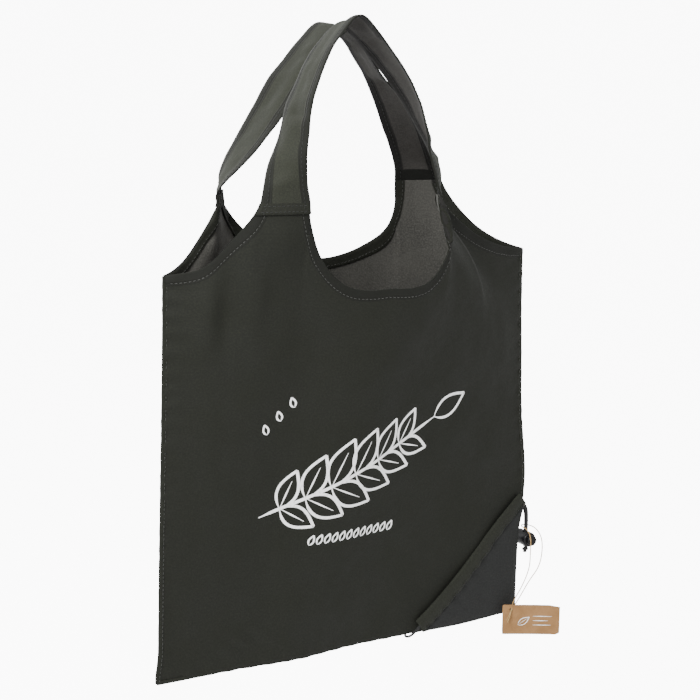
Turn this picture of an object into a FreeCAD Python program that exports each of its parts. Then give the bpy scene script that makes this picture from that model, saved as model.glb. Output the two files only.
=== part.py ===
"""Foldable tote bag hanging by its two handles, as a parametric FreeCAD document in millimetres.

The frame: the origin is the crest where both handles hang, +X runs along the bag's width,
-Y is the printed front and +Z is up.
"""

import FreeCAD, Part

import math
import os

import Sketcher
from FreeCAD import Placement, Rotation, Vector

# name of a driving dimension, its value in mm or degrees, and what it is
DIMENSIONS = [
    ("bag_width", 400.0, "side seam to side seam"),
    ("bag_shift", 20.0, "middle of the bag, to the right of the hanging crest"),
    ("bottom_depth", 597.0, "crest of the handles down to the bottom seam"),
    ("seam_depth", 160.0, "crest down to the seams between handles and panels"),
    ("cloth_thick", 0.6, "hemmed polyester cloth, as a solid"),
    ("seam_gap", 0.2, "half of the gap between the two panels at the side seams"),
    ("belly_head", 64.0, "how far each panel bellies out at the seams"),
    ("belly_foot", 2.5, "how far each panel bellies out at the bottom"),
    ("neck_radius", 82.0, "round of the neckline"),
    ("neck_depth", 165.0, "crest down to the middle of the neckline's round"),
    ("arm_radius", 103.0, "round of each armhole"),
    ("arm_reach", 227.0, "middle of the bag out to the middle of the armhole's round"),
    ("arm_depth", 125.0, "crest down to the middle of the armhole's round"),
    ("strap_width", 48.0, "width of a handle"),
    ("strap_thick", 1.2, "two hemmed layers of cloth"),
    ("pouch_thick", 3.2, "corner pouch with its cord casing"),
    ("pouch_gap", 0.5, "clearance between pouch and panel"),
    ("pouch_foot", 116.0, "side seam to the stitched end of the casing, along the bottom"),
    ("pouch_rise", 109.0, "bottom seam up to the stitched end of the casing, along the side"),
    ("casing_width", 17.0, "tunnel for the drawcord"),
    ("casing_tuck", 6.0, "casing's outer corners in from the side and bottom seams"),
    ("cord_diameter", 2.4, "round polyester drawcord"),
    ("cord_offset", 12.0, "side seam out to the two strands in the cord lock"),
    ("strand_pitch", 3.0, "between the two strands in the cord lock"),
    ("lock_depth", 523.0, "crest down to the middle of the cord lock"),
    ("lock_diameter", 15.0, "outside of the cord lock's barrel"),
    ("lock_front", 8.0, "cord hole forward to the barrel's mouth"),
    ("lock_back", 12.5, "cord hole back to the barrel's closed end"),
    ("lock_wall", 1.5, "closed end of the barrel"),
    ("lock_round", 2.0, "rounding of the barrel's ends"),
    ("bore_diameter", 11.4, "inside of the barrel"),
    ("button_diameter", 11.0, "plunger of the cord lock"),
    ("button_front", 13.0, "cord hole forward to the button's face"),
    ("button_back", 5.0, "cord hole back to the plunger's end"),
    ("button_round", 3.0, "dome of the button's face"),
    ("button_travel", 4.0, "how far the button presses in"),
    ("cord_hole", 6.4, "hole through barrel and plunger for both strands"),
    ("spring_diameter", 6.0, "middle of the spring's wire"),
    ("spring_wire", 0.8, "diameter of the spring's wire"),
    ("spring_pitch", 1.7, "rise of each turn of the spring"),
    ("knot_diameter", 6.5, "knot that ends the drawcord"),
    ("knot_depth", 534.5, "crest down to the middle of the knot"),
    ("twine_diameter", 1.0, "waxed twine of the swing tag"),
    ("tag_width", 58.0, "swing tag"),
    ("tag_height", 31.0, "swing tag"),
    ("tag_thick", 0.6, "kraft card"),
    ("tag_hole", 3.4, "diameter of the hole for the twine"),
    ("tag_hole_in", 9.0, "hole in from the left edge of the tag"),
    ("tag_hole_down", 5.0, "hole down from the top edge of the tag"),
    ("tag_left", 196.0, "crest to the tag's left edge, along X"),
    ("tag_front", 13.0, "crest forward to the tag's left edge"),
    ("tag_top", 584.0, "crest down to the tag's top edge"),
    ("tag_turn", 31.0, "degrees that the tag has swung round to the left"),
]

# left half of the front handle's middle line, from its seam to the crest: place and turn about the line
STRAP_HALF = [
    ((-86.0, -47.3, -158.5), 18.0),
    ((-84.0, -47.0, -136.0), 55.0),
    ((-77.0, -45.0, -100.0), 84.0),
    ((-62.0, -41.0, -61.0), 90.0),
    ((-37.0, -37.0, -22.0), 90.0),
]
STRAP_CREST = ((0.0, -35.0, 0.6), 90.0)
# the right leg is the left one mirrored, but it spreads to the shifted panel near its seam
RIGHT_SPREAD = [40.0, 22.0, 8.0, 2.0, 0.0]


def make_sheet(doc):
    """The driving dimensions, one row each: name, value, meaning."""
    sheet = doc.addObject("Spreadsheet::Sheet", "dims")
    for row, (name, value, meaning) in enumerate(DIMENSIONS, start=1):
        sheet.set(f"A{row}", name)
        sheet.set(f"B{row}", str(value))
        sheet.set(f"C{row}", meaning)
        sheet.setAlias(f"B{row}", name)
    doc.recompute()
    return sheet


def origin_plane(body, role):
    return next(o for o in body.Origin.OriginFeatures if o.Role == role)


def new_body(doc, label):
    body = doc.addObject("PartDesign::Body", label)
    body.Label = label
    return body


def new_sketch(body, name, role, offset=None):
    """A sketch on one of the body's own origin planes."""
    sketch = body.newObject("Sketcher::SketchObject", name)
    sketch.AttachmentSupport = [(origin_plane(body, role), "")]
    sketch.MapMode = "FlatFace"
    if offset is not None:
        sketch.AttachmentOffset = offset
    return sketch


def bind(sketch, kind, where, value, expression):
    """One dimension of a sketch, from the origin to a point or round a circle, tied to the sheet."""
    index = sketch.addConstraint(Sketcher.Constraint(kind, *where, value))
    sketch.setExpression(f"Constraints[{index}]", expression)


def place_point(sketch, edge, end, x, y):
    """Ties a sketch point to two expressions given as (value, expression)."""
    bind(sketch, "DistanceX", (-1, 1, edge, end), *x)
    bind(sketch, "DistanceY", (-1, 1, edge, end), *y)


def circle(sketch, x, y, diameter):
    """A circle whose middle and diameter are (value, expression) pairs."""
    edge = sketch.addGeometry(Part.Circle(Vector(x[0], y[0], 0), Vector(0, 0, 1), diameter[0] / 2))
    place_point(sketch, edge, 3, x, y)
    bind(sketch, "Diameter", (edge,), *diameter)


def polygon(sketch, points):
    """A closed outline of straight lines, each corner a pair of (value, expression)."""
    corners = [Vector(x[0], y[0], 0) for x, y in points]
    for index, corner in enumerate(corners):
        following = corners[(index + 1) % len(corners)]
        sketch.addGeometry(Part.LineSegment(corner, following))
    for index, (x, y) in enumerate(points):
        sketch.addConstraint(Sketcher.Constraint("Coincident", index - 1 if index else len(points) - 1, 2, index, 1))
        place_point(sketch, index, 1, x, y)


def pocket_through(body, sketch):
    """Cuts a sketch right through the body, both ways."""
    cut = body.newObject("PartDesign::Pocket", sketch.Name + "_cut")
    cut.Profile = sketch
    cut.Type = "ThroughAll"
    cut.SideType = "Symmetric"
    return cut


def pad_between(body, sketch, forward, back):
    """Pads a sketch on the XZ plane, whose normal is -Y, from back to forward of the plane."""
    pad = body.newObject("PartDesign::Pad", sketch.Name + "_pad")
    pad.Profile = sketch
    pad.SideType = "Two sides"
    pad.setExpression("Length", forward)
    pad.setExpression("Length2", back)
    return pad


def round_rims(body, name, radius, wanted):
    """Fillets the round edges of the last feature that are wanted."""
    solid = body.Tip
    rims = [f"Edge{i}" for i, edge in enumerate(solid.Shape.Edges, start=1) if edge.Closed and wanted(edge)]
    fillet = body.newObject("PartDesign::Fillet", name)
    fillet.Base = (solid, rims)
    fillet.setExpression("Radius", radius)
    body.Document.recompute()


def cloth_y(sheet, x, z):
    """How far the cloth bellies out at x from the bag's middle and at height z."""
    height = (z + sheet.bottom_depth) / (sheet.bottom_depth - sheet.seam_depth)
    swell = math.sin(math.radians(90) * min(max(height, 0), 1)) ** 2
    belly = sheet.belly_foot + (sheet.belly_head - sheet.belly_foot) * swell
    return belly * (1 - (2 * x / sheet.bag_width) ** 2)


def belly_sheet(doc, label, side, start, thickness, low, high):
    """A curved sheet of cloth from height low to high, extruded to its thickness along Y."""
    sheet = doc.dims
    half = sheet.bag_width / 2
    columns, rows = 9, 13
    grid = []
    for column in range(columns):
        x = -half + sheet.bag_width * column / (columns - 1)
        heights = [low + (high - low) * row / (rows - 1) for row in range(rows)]
        grid.append([Vector(x, side * (start + cloth_y(sheet, x, z)), z) for z in heights])
    surface = Part.BSplineSurface()
    surface.interpolate(grid)
    face = doc.addObject("Part::Feature", label + "_surface")
    face.Shape = surface.toShape()
    cloth = doc.addObject("Part::Extrusion", label + "_cloth")
    cloth.Base = face
    cloth.Dir = Vector(0, side, 0)
    cloth.setExpression("LengthFwd", thickness)
    cloth.Solid = True
    return cloth


def round_cut(doc, label, radius, x, z):
    """A round tool along Y, its radius and middle bound to the sheet."""
    tool = doc.addObject("Part::Cylinder", label)
    tool.Height = 400
    tool.Placement = Placement(Vector(0, 200, 0), Rotation(Vector(1, 0, 0), 90))
    tool.setExpression("Radius", radius)
    tool.setExpression("Placement.Base.x", x)
    tool.setExpression("Placement.Base.z", z)
    return tool


def shift_to_bag(piece):
    """The panels and pouches are drawn round the bag's own middle, which hangs to the right."""
    piece.setExpression("Placement.Base.x", "<<dims>>.bag_shift")


def make_panel(doc, label, side):
    """Front or back panel: a bellied sheet with the neckline and both armholes cut out."""
    sheet = doc.dims
    thickness = "<<dims>>.cloth_thick"
    cloth = belly_sheet(doc, label, side, sheet.seam_gap, thickness, -sheet.bottom_depth, -sheet.seam_depth)
    arm = ("<<dims>>.arm_radius", "<<dims>>.arm_reach", "-<<dims>>.arm_depth")
    tools = [
        round_cut(doc, label + "_neck", "<<dims>>.neck_radius", "0 * <<dims>>.arm_reach", "-<<dims>>.neck_depth"),
        round_cut(doc, label + "_left_arm", arm[0], "-" + arm[1], arm[2]),
        round_cut(doc, label + "_right_arm", *arm),
    ]
    fused = doc.addObject("Part::MultiFuse", label + "_rounds")
    fused.Shapes = tools
    panel = doc.addObject("Part::Cut", label)
    panel.Base = cloth
    panel.Tool = fused
    shift_to_bag(panel)
    return panel


def make_pouch(doc, label, side):
    """One side of the corner pouch: cloth and cord casing over the bag's bottom right corner."""
    sheet = doc.dims
    start = sheet.seam_gap + sheet.cloth_thick + sheet.pouch_gap
    half = sheet.bag_width / 2
    # the casing's mouths are square to its slanted edge, so its outer corners lie this far out
    lean = sheet.casing_width * math.sqrt(0.5)
    leant = "<<dims>>.casing_width * sqrt(0.5)"
    side_x = (half, "<<dims>>.bag_width / 2")
    low = (-sheet.bottom_depth, "-<<dims>>.bottom_depth")
    foot = (half - sheet.pouch_foot, "<<dims>>.bag_width / 2 - <<dims>>.pouch_foot")
    top = (low[0] + sheet.pouch_rise, "<<dims>>.pouch_rise - <<dims>>.bottom_depth")
    tuck = sheet.casing_tuck
    tucked = "<<dims>>.casing_tuck"
    outline = [
        (foot, low),
        (side_x, low),
        (side_x, top),
        ((half - tuck, f"{side_x[1]} - {tucked}"), (top[0] + lean, f"{top[1]} + {leant}")),
        ((foot[0] - lean, f"{foot[1]} - {leant}"), (low[0] + tuck, f"{low[1]} + {tucked}")),
    ]
    shape = doc.addObject("Sketcher::SketchObject", label + "_outline")
    shape.Placement = Placement(Vector(0, 200, 0), Rotation(Vector(1, 0, 0), 90))
    polygon(shape, outline)
    prism = doc.addObject("Part::Extrusion", label + "_prism")
    prism.Base = shape
    prism.Dir = Vector(0, -1, 0)
    prism.LengthFwd = 400
    prism.Solid = True
    cloth = belly_sheet(doc, label, side, start, "<<dims>>.pouch_thick", low[0], top[0] + lean)
    pouch = doc.addObject("Part::Common", label)
    pouch.Base = cloth
    pouch.Tool = prism
    shift_to_bag(pouch)
    return pouch


def strap_line():
    """Every place and turn along the front handle, from its left seam over the crest to the right."""
    right = []
    for (place, turn), spread in zip(STRAP_HALF, RIGHT_SPREAD):
        right.append(((-place[0] + spread, place[1], place[2]), turn))
    line = [(place, turn, 1) for place, turn in STRAP_HALF]
    line.append((*STRAP_CREST, 0))
    line += [(place, turn, -1) for place, turn in reversed(right)]
    return line


def make_handle(doc, label, side):
    """A flat strap from seam to seam that turns edge-on to the front as it rises over the crest."""
    sheet = doc.dims
    body = new_body(doc, label)
    line = strap_line()
    places = [Vector(place[0], -side * place[1], place[2]) for place, _, _ in line]
    sections = []
    for index, (_, turn, leg) in enumerate(line):
        before = places[max(index - 1, 0)]
        after = places[min(index + 1, len(places) - 1)]
        along = (after - before).normalize()
        angle = math.radians(turn)
        across = Vector(leg * math.cos(angle), side * math.sin(angle), 0)
        if index in (0, len(line) - 1):
            along = Vector(0, 0, leg)
        across = (across - along * across.dot(along)).normalize()
        rotation = Rotation(across, along.cross(across), along, "ZXY")
        sketch = new_sketch(body, f"{label}_{index}", "XY_Plane", Placement(places[index], rotation))
        x = (sheet.strap_width / 2, "<<dims>>.strap_width / 2")
        y = (sheet.strap_thick / 2, "<<dims>>.strap_thick / 2")
        low_x = (-x[0], "-" + x[1])
        low_y = (-y[0], "-" + y[1])
        polygon(sketch, [(low_x, low_y), (x, low_y), (x, y), (low_x, y)])
        sections.append(sketch)
    loft = body.newObject("PartDesign::AdditiveLoft", label + "_loft")
    loft.Profile = sections[0]
    loft.Sections = sections[1:]
    return body


def at_lock(body):
    """The cord lock's pieces are drawn round its cord hole."""
    body.setExpression("Placement.Base.x", "<<dims>>.bag_shift + <<dims>>.bag_width / 2 + <<dims>>.cord_offset")
    body.setExpression("Placement.Base.z", "-<<dims>>.lock_depth")


def make_lock_body(doc):
    """Barrel, open at the front for the plunger, with a hole down through it for the cord."""
    sheet = doc.dims
    body = new_body(doc, "cord_lock_body")
    outside = new_sketch(body, "barrel", "XZ_Plane")
    middle = (0.0, "0 mm")
    circle(outside, middle, middle, (sheet.lock_diameter, "<<dims>>.lock_diameter"))
    pad_between(body, outside, "<<dims>>.lock_front", "<<dims>>.lock_back")
    doc.recompute()
    round_rims(body, "barrel_round", "<<dims>>.lock_round", lambda edge: True)
    bore = new_sketch(body, "bore", "XZ_Plane")
    circle(bore, middle, middle, (sheet.bore_diameter, "<<dims>>.bore_diameter"))
    cut = body.newObject("PartDesign::Pocket", "bore_cut")
    cut.Profile = bore
    cut.SideType = "Two sides"
    cut.setExpression("Length", "<<dims>>.lock_back - <<dims>>.lock_wall")
    cut.setExpression("Length2", "<<dims>>.lock_front + 1")
    doc.recompute()
    hole = new_sketch(body, "cord_way", "XY_Plane")
    circle(hole, middle, middle, (sheet.cord_hole, "<<dims>>.cord_hole"))
    pocket_through(body, hole)
    at_lock(body)
    return body


def make_button(doc):
    """Plunger with a domed face and a slot that clears the cord over its whole travel."""
    sheet = doc.dims
    body = new_body(doc, "cord_lock_button")
    outside = new_sketch(body, "plunger", "XZ_Plane")
    middle = (0.0, "0 mm")
    circle(outside, middle, middle, (sheet.button_diameter, "<<dims>>.button_diameter"))
    pad_between(body, outside, "<<dims>>.button_front", "<<dims>>.button_back")
    doc.recompute()
    round_rims(body, "dome", "<<dims>>.button_round", lambda edge: edge.CenterOfMass.y < 0)
    slot = new_sketch(body, "slot", "XY_Plane")
    half = (sheet.cord_hole / 2, "<<dims>>.cord_hole / 2")
    low = (-half[0], "-" + half[1])
    front = (-half[0] - sheet.button_travel, "-<<dims>>.cord_hole / 2 - <<dims>>.button_travel")
    polygon(slot, [(low, front), (half, front), (half, half), (low, half)])
    pocket_through(body, slot)
    at_lock(body)
    return body


def make_spring(doc):
    """Coil spring between the plunger and the closed end of the barrel."""
    sheet = doc.dims
    gap = 0.1
    wire = sheet.spring_wire
    start = sheet.button_back + gap + wire / 2
    length = sheet.lock_back - sheet.lock_wall - gap - wire / 2 - start
    helix = Part.makeHelix(sheet.spring_pitch, length, sheet.spring_diameter / 2)
    ring = Part.Wire(Part.makeCircle(wire / 2, Vector(sheet.spring_diameter / 2, 0, 0), Vector(0, 1, 0)))
    coil = Part.Wire(helix.Edges).makePipeShell([ring], True, True)
    spring = doc.addObject("Part::Feature", "cord_lock_spring")
    spring.Shape = coil
    x = sheet.bag_shift + sheet.bag_width / 2 + sheet.cord_offset
    turn = Rotation(Vector(1, 0, 0), -90)
    spring.Placement = Placement(Vector(x, start, -sheet.lock_depth), turn)
    return spring


def cord_path(points):
    """Straight runs joined by tangent arcs, each as large as its two runs allow."""
    points = [Vector(*p) for p in points]
    edges = []
    radii = []
    last = points[0]
    for before, corner, after in zip(points, points[1:], points[2:]):
        back = before - corner
        on = after - corner
        reach = 0.45 * min(back.Length, on.Length)
        half_turn = (math.pi - back.getAngle(on)) / 2
        radii.append(reach / math.tan(half_turn))
        back.normalize()
        on.normalize()
        start = corner + back * reach
        end = corner + on * reach
        centre = corner + (back + on).normalize() * (radii[-1] / math.cos(half_turn))
        middle = centre + (corner - centre).normalize() * radii[-1]
        edges.append(Part.LineSegment(last, start).toShape())
        edges.append(Part.Arc(start, middle, end).toShape())
        last = end
    edges.append(Part.LineSegment(last, points[-1]).toShape())
    return Part.Wire(edges), radii


def make_cord(doc, label, points, diameter):
    """A round cord swept along its route; prints its length and bends."""
    path, radii = cord_path(points)
    first = path.Edges[0]
    ring = Part.Wire(Part.makeCircle(diameter / 2, first.valueAt(first.FirstParameter), first.tangentAt(0)))
    tube = path.makePipeShell([ring], True, True)
    expected = math.pi * diameter**2 / 4 * path.Length
    print(f"{label}: {path.Length:.1f} mm long, volume {tube.Volume / expected:.3f} of section x length")
    print("   bend radii", [round(r, 1) for r in radii])
    cord = doc.addObject("Part::Feature", label)
    cord.Shape = tube
    return cord


def drawcord_route(sheet):
    """Knot, up through the cord lock, along the front casing, round the bottom and back the same way."""
    side = sheet.bag_shift + sheet.bag_width / 2
    strand = sheet.strand_pitch / 2
    x = side + sheet.cord_offset
    way = [
        (x, strand, -532.0),
        (x, strand, -514.0),
        (x, strand + 0.2, -498.0),
        (x - 2.5, strand + 1.0, -488.0),
        (x - 11.5, strand + 1.6, -480.5),
        (x - 24.0, strand + 2.4, -491.0),
        (x - 58.0, strand + 4.0, -523.0),
        (x - 97.0, strand + 4.6, -559.0),
        (x - 130.0, strand + 5.0, -589.5),
        (x - 141.0, strand + 4.4, -600.0),
    ]
    front = [(px, -py, pz) for px, py, pz in way]
    turn = [(x - 144.5, 0.0, -602.5)]
    return front + turn + way[::-1]


def twine_route(sheet):
    """Tail, through the tag's hole, up round both strands above the cord lock and down again."""
    x = sheet.bag_shift + sheet.bag_width / 2 + sheet.cord_offset
    turn = math.radians(sheet.tag_turn)
    hole_x = sheet.tag_left + sheet.tag_hole_in * math.cos(turn)
    hole_y = -sheet.tag_front - sheet.tag_hole_in * math.sin(turn)
    hole_z = -sheet.tag_top - sheet.tag_hole_down
    left = [
        (hole_x - 7.0, hole_y - 3.4, hole_z - 11.0),
        (hole_x - 3.6, hole_y - 2.6, hole_z - 5.5),
        (hole_x - 0.7, hole_y - 0.5, hole_z - 0.6),
        (hole_x + 3.4, hole_y + 2.6, hole_z + 7.0),
        (x - 14.0, hole_y + 3.2, hole_z + 20.0),
        (x - 7.0, -17.6, -549.0),
        (x - 6.6, -17.4, -532.0),
        (x - 6.0, -16.6, -517.0),
        (x - 5.2, -9.0, -510.4),
        (x - 5.2, 1.4, -510.2),
        (x - 0.4, 6.4, -510.0),
    ]
    right = [
        (x + 5.2, 1.6, -510.2),
        (x + 5.6, -9.0, -510.6),
        (x + 7.4, -16.8, -518.0),
        (x + 8.6, -17.6, -532.0),
        (x + 5.4, -17.6, -549.0),
        (x - 4.4, hole_y + 3.4, hole_z + 26.0),
        (x - 17.0, hole_y + 3.0, hole_z + 9.0),
        (hole_x + 0.7, hole_y - 0.1, hole_z + 0.5),
        (hole_x - 2.9, hole_y - 1.4, hole_z - 4.2),
        (hole_x - 7.0, hole_y - 1.6, hole_z - 9.6),
    ]
    return left + right


def make_knot(doc):
    """Knot that joins the drawcord's two ends below the cord lock."""
    knot = doc.addObject("Part::Sphere", "drawcord_knot")
    knot.setExpression("Radius", "<<dims>>.knot_diameter / 2")
    knot.setExpression("Placement.Base.x", "<<dims>>.bag_shift + <<dims>>.bag_width / 2 + <<dims>>.cord_offset")
    knot.setExpression("Placement.Base.z", "-<<dims>>.knot_depth")
    return knot


def make_tag(doc):
    """Kraft card with a hole near its top left corner, turned to the left as it hangs."""
    sheet = doc.dims
    body = new_body(doc, "swing_tag")
    outline = new_sketch(body, "card", "XZ_Plane")
    zero = (0.0, "0 mm")
    right = (sheet.tag_width, "<<dims>>.tag_width")
    low = (-sheet.tag_height, "-<<dims>>.tag_height")
    polygon(outline, [(zero, zero), (right, zero), (right, low), (zero, low)])
    card = body.newObject("PartDesign::Pad", "card_pad")
    card.Profile = outline
    card.setExpression("Length", "<<dims>>.tag_thick")
    card.SideType = "Symmetric"
    doc.recompute()
    hole = new_sketch(body, "string_hole", "XZ_Plane")
    across = (sheet.tag_hole_in, "<<dims>>.tag_hole_in")
    down = (-sheet.tag_hole_down, "-<<dims>>.tag_hole_down")
    circle(hole, across, down, (sheet.tag_hole, "<<dims>>.tag_hole"))
    pocket_through(body, hole)
    body.Placement = Placement(Vector(), Rotation(Vector(0, 0, 1), -sheet.tag_turn))
    body.setExpression("Placement.Base.x", "<<dims>>.tag_left")
    body.setExpression("Placement.Base.y", "-<<dims>>.tag_front")
    body.setExpression("Placement.Base.z", "-<<dims>>.tag_top")
    return body


def check(doc, pieces):
    """Stops on any failed feature or bad solid, and prints what each piece measures."""
    for item in doc.Objects:
        if "Invalid" in item.State or "Error" in item.State:
            raise RuntimeError(f"{item.Name} failed: {item.State}")
    for piece in pieces:
        shape = piece.Shape
        if shape.isNull() or not shape.isValid() or not shape.Solids:
            raise RuntimeError(f"{piece.Label} has no valid solid")
        box = shape.BoundBox
        print(
            f"{piece.Label}: {len(shape.Solids)} solid, {shape.Volume:.0f} mm3,"
            f" x {box.XMin:.1f}..{box.XMax:.1f}, y {box.YMin:.1f}..{box.YMax:.1f}, z {box.ZMin:.1f}..{box.ZMax:.1f}"
        )


def main():
    doc = FreeCAD.newDocument("foldable_tote_bag")
    sheet = make_sheet(doc)
    front, back = -1, 1
    pieces = [
        make_panel(doc, "front_panel", front),
        make_panel(doc, "back_panel", back),
        make_handle(doc, "front_handle", front),
        make_handle(doc, "back_handle", back),
        make_pouch(doc, "front_pouch", front),
        make_pouch(doc, "back_pouch", back),
        make_cord(doc, "drawcord", drawcord_route(sheet), sheet.cord_diameter),
        make_knot(doc),
        make_lock_body(doc),
        make_button(doc),
        make_spring(doc),
        make_cord(doc, "tag_twine", twine_route(sheet), sheet.twine_diameter),
        make_tag(doc),
    ]
    doc.recompute()
    check(doc, pieces)
    os.makedirs("parts", exist_ok=True)
    for piece in pieces:
        piece.Shape.exportStep(f"parts/{piece.Label}.step")


main()
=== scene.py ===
"""A foldable tote bag hanging by its two handles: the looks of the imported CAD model.

Everything is in metres in the CAD's own frame: the origin is the crest of the handles, +X runs
along the bag towards its corner pouch, -Y is the printed front and +Z is up.
"""

import math

import bmesh
import bpy
from mathutils import Matrix, Vector, noise
from mathutils.bvhtree import BVHTree


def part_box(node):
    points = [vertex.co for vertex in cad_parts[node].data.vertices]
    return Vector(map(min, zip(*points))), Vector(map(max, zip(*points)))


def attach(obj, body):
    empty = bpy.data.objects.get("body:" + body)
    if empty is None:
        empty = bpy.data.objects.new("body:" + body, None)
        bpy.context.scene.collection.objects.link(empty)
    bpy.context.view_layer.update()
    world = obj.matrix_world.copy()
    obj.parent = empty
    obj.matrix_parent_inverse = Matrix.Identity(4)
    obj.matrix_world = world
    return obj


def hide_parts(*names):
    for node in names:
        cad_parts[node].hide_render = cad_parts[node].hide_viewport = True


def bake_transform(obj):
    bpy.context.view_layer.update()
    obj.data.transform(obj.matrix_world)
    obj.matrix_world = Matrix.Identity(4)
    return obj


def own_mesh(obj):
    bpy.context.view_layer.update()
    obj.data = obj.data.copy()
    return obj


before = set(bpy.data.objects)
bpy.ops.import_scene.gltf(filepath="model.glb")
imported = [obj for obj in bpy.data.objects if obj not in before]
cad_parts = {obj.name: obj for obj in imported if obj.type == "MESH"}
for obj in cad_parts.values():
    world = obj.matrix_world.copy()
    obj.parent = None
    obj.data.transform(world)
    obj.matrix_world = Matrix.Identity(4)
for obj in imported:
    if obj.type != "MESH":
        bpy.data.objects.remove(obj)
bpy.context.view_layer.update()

# ---------------------------------------------------------------- sizes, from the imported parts
panel_low, panel_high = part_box("front_panel")
BAG_MIDDLE = (panel_low[0] + panel_high[0]) / 2
HALF_WIDTH = (panel_high[0] - panel_low[0]) / 2
BOTTOM = panel_low[2]
SEAM = panel_high[2]
lock_low, lock_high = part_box("cord_lock_body")
LOCK_X = (lock_low[0] + lock_high[0]) / 2

# ---------------------------------------------------------------- sizes of the cloth
BELLY_HEAD = 0.064
BELLY_FOOT = 0.0025
SEAM_GAP = 0.0002
NECK_RADIUS = 0.082
NECK_HEIGHT = -0.165
ARM_RADIUS = 0.103
ARM_REACH = 0.227
ARM_HEIGHT = -0.125
CLOTH = 0.0006
POUCH_CLOTH = 0.0005
STRAP_WIDTH = 0.048
STRAP_THICK = 0.0012
HEM = 0.010
HEM_STITCH = 0.0078
OVERLAP = 0.010
STITCH_LIFT = 0.00012
FRONT, BACK = -1, 1
WORD = {FRONT: "front", BACK: "back"}

# how each shoulder is pulled from its flat cut: along X, outwards and up, at eight places from the
# side seam's top round the armhole (0-3), over the strap (3-4) and round the neckline (4-7)
PULL = {
    (FRONT, -1): [
        (0, 0, 0), (0, 1, -6), (-1.5, 4, -1), (0, 10, 0),
        (-2, 5, 0), (-2, 3, 0), (-2, 2, -1), (0, 1, 6),
    ],
    (FRONT, 1): [
        (0, 0, 0), (-14, -4, -5), (-31, -9, -7), (-53, -8, -3),
        (-27, 6, 0), (-3, 3, 0), (3, 1, -2), (0, 1, 6),
    ],
    (BACK, -1): [
        (0, 0, 0), (0, 0, -5), (-2, -8, -2), (-4, -15, 0),
        (-25, 9, 0), (-10, 5, 2), (-4, 2, 10), (0, 1, 17),
    ],
    (BACK, 1): [
        (0, 0, 0), (0, 1, 0), (3, 4, 0), (3, 8, 0),
        (5, 8, 0), (6, 5, 2), (2, 2, 13), (0, 1, 17),
    ],
}
PULL_REACH = 0.058

# the two edges of each handle in millimetres, from the left seam over the crest to the right:
# the armhole's edge, then the neckline's
HANDLES = {
    FRONT: [
        ((-101, -45, -146), (-65, -58, -142)),
        ((-90, -33, -130), (-66, -59.5, -125)),
        ((-70, -18, -105), (-67, -62, -103)),
        ((-61, -13, -79), (-64, -62, -78)),
        ((-50, -11, -60), (-58, -62, -59)),
        ((-41, -11, -43), (-49, -61, -39)),
        ((-28, -11, -26), (-37, -60, -20)),
        ((-10, -11, -11), (-15, -59, -0.5)),
        ((6, -11.5, -19), (4, -59.5, -14)),
        ((22, -13, -35), (18, -60, -30)),
        ((40, -14.5, -55), (36, -61.5, -54)),
        ((58, -18, -79), (48, -62, -77)),
        ((73, -20, -103), (55, -62, -100)),
        ((86, -22, -124), (60, -62, -122)),
        ((92, -26, -143), (67, -61, -143)),
    ],
    BACK: [
        ((-106, 15, -148), (-87, 62, -148)),
        ((-86, 12, -130), (-80, 62, -130)),
        ((-63, 11, -105), (-65, 62, -106)),
        ((-45, 11, -84), (-52, 62, -86)),
        ((-28, 11, -62), (-38, 62, -63)),
        ((-14, 11, -44), (-23, 62, -46)),
        ((2, 11, -27), (-6, 62, -27)),
        ((22, 11, -15), (17, 62, -10)),
        ((38, 11.5, -27), (41, 62, -24)),
        ((44, 12, -42), (52, 62, -38)),
        ((60, 14, -60), (66, 62, -57)),
        ((86, 18, -84), (78, 62, -81)),
        ((109, 25, -110), (89, 62, -107)),
        ((127, 36, -131), (98, 62, -128)),
        ((141, 45, -147), (104, 62, -146)),
    ],
}

# middle of the cord casing as x from the bag's middle and z, from the side seam down to the bottom seam
CASING = [
    (0.197, -0.4785),
    (0.175, -0.4995),
    (0.151, -0.526),
    (0.131, -0.5465),
    (0.111, -0.5655),
    (0.093, -0.5805),
    (0.080, -0.5905),
]
CASING_WIDTH = 0.0165
CASING_THICK = 0.0048
POUCH_LIFT = 0.0013


# ---------------------------------------------------------------- small helpers
def clamp(value, low=0.0, high=1.0):
    return min(max(value, low), high)


def smooth(value):
    """Smooth step from 0 to 1."""
    value = clamp(value)
    return value * value * (3 - 2 * value)


def mix(a, b, share):
    return a + (b - a) * share


def bump(value, middle, spread):
    """Bell curve of height 1."""
    return math.exp(-(((value - middle) / spread) ** 2))


def wobble(x, y, seed):
    """Smooth noise of about -1 to 1."""
    return noise.noise(Vector((x, y, seed * 7.31)))


def spline(points, share):
    """Point at a share 0..1 along a smooth curve through the points (Catmull-Rom)."""
    last = len(points) - 1
    place = clamp(share) * last
    index = min(int(place), last - 1)
    t = place - index
    p0, p1, p2, p3 = (Vector(points[clamp(index + k, 0, last)]) for k in (-1, 0, 1, 2))
    second = (2 * p0 - 5 * p1 + 4 * p2 - p3) * t * t
    third = (3 * p1 - p0 - 3 * p2 + p3) * t**3
    return 0.5 * (2 * p1 + (p2 - p0) * t + second + third)


def span_at(line, index):
    """From the point before a place on a line to the point after it."""
    return line[min(index + 1, len(line) - 1)] - line[max(index - 1, 0)]


def belongs(body, slot, *pieces):
    """Ties pieces to a body; the slot argument is not used."""
    for piece in pieces:
        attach(piece, body)


def link_object(name, data):
    obj = bpy.data.objects.new(name, data)
    bpy.context.scene.collection.objects.link(obj)
    return obj


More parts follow.
